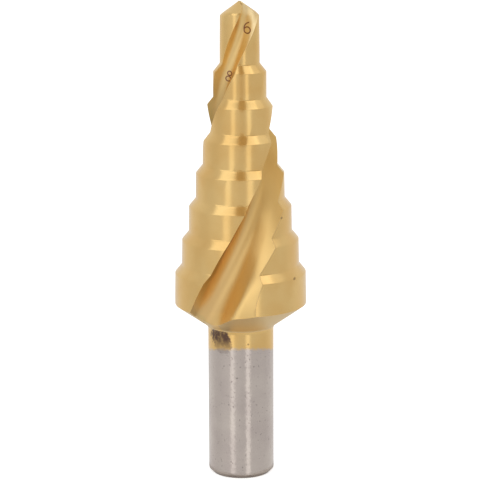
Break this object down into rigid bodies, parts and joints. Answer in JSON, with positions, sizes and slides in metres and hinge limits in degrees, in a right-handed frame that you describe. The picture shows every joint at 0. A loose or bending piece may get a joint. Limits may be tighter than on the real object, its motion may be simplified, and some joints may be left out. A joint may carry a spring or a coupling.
{
  "type": "step drill",
  "caption": "Stepped conical drill with spiral flutes, a short pilot point and a plain round shank, for opening sheet metal out to a range of hole sizes.",
  "frame": {"origin": "centre of the flat end face of the shank, which the drill stands on", "axes": "+Z along the drill's axis, from the shank's end up to the point; the first cutting edge reaches the foot of the body about 221 degrees round from +X"},
  "size_m": [0.02, 0.019, 0.0726],
  "materials": {
    "step_drill": "ground high-speed steel with a gold-coloured hard coating on the cutting end and bare ground steel on the shank"
  },
  "bodies": {
    "root": {"step_drill": "step_drill"}
  },
  "joints": []
}
